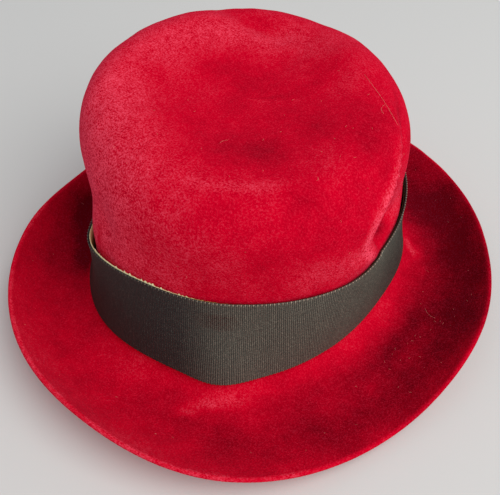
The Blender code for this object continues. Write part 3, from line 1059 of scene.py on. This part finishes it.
def ribbon_tone(angle, columns):
    """Black at -1 and a painted olive sheen at 0, in smooth steps, and each rib a little lighter or darker.
    """
    turn = turn_between(angle, LIT_SIDE_MIDDLE)
    left = 1 - sum(amount * step(turn - end, width) for end, width, amount in LIT_SIDE_ENDS)
    lit_side = step(turn - LIT_SIDE_START, LIT_SIDE_START_WIDTH) * left
    ribs = np.random.default_rng(7).normal(0, RIB_TONE, columns // RIB_COLUMNS)
    return lit_side - BLACK_TONE + np.repeat(ribs, RIB_COLUMNS)


print("tone of one rib at the front:", ribbon_tone(np.zeros(RIB_COLUMNS), RIB_COLUMNS).round(2))

# %% [markdown]
# The rows crowd at the ribbon's two edges, where the loops stand out. Its inner side is plain.

# %% Make the ribbon
RIBBON_SHARES = (0.0, 0.006, 0.02, 0.05, 0.18, 0.34, 0.5, 0.66, 0.82, 0.95, 0.98, 0.994, 1.0)
PLAIN_ROWS = [0, 6, 12]  # both edges and the middle
EDGE_SHARE = 0.012
LOOP_REACH = 0.00025  # how far past the edge
LOOP_LIFT = 0.00012  # how far it stands up from the ribs
LOOP_HIGHLIGHT = 1.6
GROOVE_SHADE = 1.1


def make_ribbon():
    """The outer side has the ribs, and every second rib ends in a loop past the edge."""
    ribs = 2 * round(even_angles(8)[1] / RIB_PITCH / 2)
    columns = ribs * RIB_COLUMNS
    angle, length = even_angles(columns)
    share = np.array(RIBBON_SHARES)[:, None]
    clearance = CLEARANCE + BACKING_THICK + CLEARANCE
    inner, outward = band_surface(share * RIBBON_WIDTH, angle, clearance)
    phase = np.arange(columns) / RIB_COLUMNS
    rib = (1 - np.cos(2 * np.pi * phase)) / 2
    loop = np.clip(np.cos(2 * np.pi * (phase - 0.5) / 2), 0, 1) ** 2
    at_edge = np.exp(-((np.minimum(share, 1 - share) / EDGE_SHARE) ** 2))
    raised = RIBBON_THICK - RIB_HEIGHT * (1 - rib) + LOOP_LIFT * at_edge * loop
    outer = inner + outward * raised[..., None]
    outer[..., 2] += LOOP_REACH * at_edge * loop * np.where(share < 0.5, -1, 1)
    grid = np.concatenate([outer, inner[::-1][PLAIN_ROWS]])
    # Painted highlights on the loops of the upper edge, and painted shade in the grooves between the ribs.
    loop_highlights = np.where(share > 0.5, LOOP_HIGHLIGHT, 0.0) * at_edge * loop
    tone = ribbon_tone(angle, columns) - GROOVE_SHADE * (1 - rib) ** 2 + loop_highlights
    tone = np.concatenate([tone, tone[PLAIN_ROWS]])
    mesh = put_mesh("ribbon", grid.reshape(-1, 3), [ring_faces(len(grid), columns, closed_rows=True)],
                    {"tone": tone})
    print("ribs:", ribs, "over", round(length, 4), "m")
    return add_piece("grosgrain_ribbon", mesh, GROSGRAIN, "ribbon_band")


make_ribbon()

# %% [markdown]
# ## The backing tape
#
# Behind the ribbon a cream tape shows, most of all at the left, where both stand off the
# crown. Its upper edge is ragged and, at the front, frayed to tufts about a millimetre high.
# It is matt and golden where it shows, and painted dark as shade where it lies hidden.

# %% The tape's material
def make_tape_material():
    """The tone goes to the mottle, from painted shade over gold to pale cream."""
    material, tree, shader = plain_shader("cream_backing_tape", 0.85, 0.2)
    _, grain, tone = fuzzy_surface(tree, shader, "tone", 1800.0, 0.0001)
    mottle = use_group(tree, MOTTLE, Tone=tone, Grain=grain, Shake=1.6,
                       Deep=(0.045, 0.032, 0.012, 1), Plain=(0.42, 0.33, 0.10, 1), Light=(1.0, 0.94, 0.56, 1))
    tree.links.new(mottle.outputs["Color"], shader.inputs["Base Color"])
    return material


TAPE_CLOTH = make_tape_material()
print("material:", TAPE_CLOTH.name)

# %% [markdown]
# The tape is a little thinner than its solid, to stay clear of the ribs in front of it. Its
# gold and its tufts are each spread over a stretch of the turn.

# %% Make the tape
TAPE_COLUMNS = 900
TAPE_ROWS = 8
TAPE_THICK = 0.8 * BACKING_THICK
FRAY = 0.0002
TUFT_HEIGHT = 0.0013
TUFT_CHANCE = 0.16
TUFT_LOW = 0.3  # the lowest tuft, as a share of the highest
TUFT_ANGLE, TUFT_SPREAD = 355, 22
TUFT_TONE, TUFT_POWER = 0.5, 8
GOLD_ANGLE, GOLD_SPREAD = 335, 50
GOLD_EDGE, GOLD_POWER = 0.8, 16
HIDDEN_SHADE = 1.2


def make_tape():
    """A thin band whose upper edge wanders as the table says and is ragged besides."""
    angle = np.arange(TAPE_COLUMNS) * 2 * np.pi / TAPE_COLUMNS
    dice = np.random.default_rng(11)
    worn = flat_bell(angle, TUFT_ANGLE, TUFT_SPREAD)
    tufts = (dice.random(TAPE_COLUMNS) < TUFT_CHANCE) * dice.uniform(TUFT_LOW, 1.0, TAPE_COLUMNS)
    ragged = FRAY * dice.uniform(-1, 1, TAPE_COLUMNS) + TUFT_HEIGHT * worn * tufts
    edge = RIBBON_WIDTH - BACKING_INSET + BACKING_SHOW * round_share("show", angle) + ragged
    share = np.linspace(0, 1, TAPE_ROWS)[:, None]
    inner, outward = band_surface(share * edge, angle, CLEARANCE)
    outer = inner + outward * TAPE_THICK
    grid = np.concatenate([outer, inner[::-1]])
    gold = flat_bell(angle, GOLD_ANGLE, GOLD_SPREAD) * (1 + GOLD_EDGE * share**GOLD_POWER)
    # Gold where the tape shows, painted shade where it lies hidden behind the ribbon, and pale tufts.
    tone = gold - HIDDEN_SHADE + worn * np.clip(tufts + TUFT_TONE, 0, 1) * share**TUFT_POWER
    mesh = put_mesh("tape", grid.reshape(-1, 3), [ring_faces(len(grid), TAPE_COLUMNS, closed_rows=True)],
                    {"tone": np.concatenate([tone, tone[::-1]])})
    return add_piece("backing_tape", mesh, TAPE_CLOTH, "band_backing")


make_tape()

# %% [markdown]
# ## Floor and light
#
# The photograph has soft daylight from the right and from above. One large area lamp close
# by gives the soft shadow to the left, and a pale world fills it.

# %% The floor
FLOOR_SIZE = 3.0
FLOOR_COLOUR = (0.77, 0.77, 0.76, 1)


def make_floor():
    """One square at z = 0, with a rough, pale surface."""
    half = FLOOR_SIZE / 2
    corners = np.array([(-half, -half, 0), (half, -half, 0), (half, half, 0), (-half, half, 0)])
    mesh = put_mesh("floor", corners, [np.array([[0, 1, 2, 3]])])
    material, tree, shader = plain_shader("pale_floor", 0.9, 0.1)
    shader.inputs["Base Color"].default_value = FLOOR_COLOUR
    mesh.materials.append(material)
    floor = bpy.data.objects.new("floor", mesh)
    bpy.context.scene.collection.objects.link(floor)


make_floor()
print("floor:", FLOOR_SIZE, "m wide")

# %% [markdown]
# The view transform is the plain one, so that a full red stays as strong as in the photograph.

# %% The lamp and the world
LAMP_TURN = 82.0
LAMP_RISE = 50.0
LAMP_AWAY = 2.2
LAMP_SIZE = 2.4
LAMP_POWER = 43.0
LAMP_COLOUR = (1.0, 0.98, 0.95)
SKY_COLOUR = (0.93, 0.96, 1.0, 1)
SKY_STRENGTH = 0.36


def make_light():
    """The lamp stands at a distance along a direction and faces back down it."""
    lamp = bpy.data.lights.new("window", "AREA")
    lamp.size = LAMP_SIZE
    lamp.energy = LAMP_POWER
    lamp.color = LAMP_COLOUR
    window = bpy.data.objects.new("window", lamp)
    towards = direction(LAMP_TURN, LAMP_RISE)
    window.location = towards * LAMP_AWAY
    window.rotation_mode = "QUATERNION"
    window.rotation_quaternion = towards.to_track_quat("Z", "Y")
    bpy.context.scene.collection.objects.link(window)
    world = bpy.data.worlds.new("sky")
    world.use_nodes = True
    sky = world.node_tree.nodes["Background"]
    sky.inputs["Color"].default_value = SKY_COLOUR
    sky.inputs["Strength"].default_value = SKY_STRENGTH
    bpy.context.scene.world = world
    bpy.context.scene.view_settings.view_transform = "Standard"


make_light()
print("lamp:", LAMP_POWER, "W, turned", LAMP_TURN, "and raised", LAMP_RISE, "degrees")
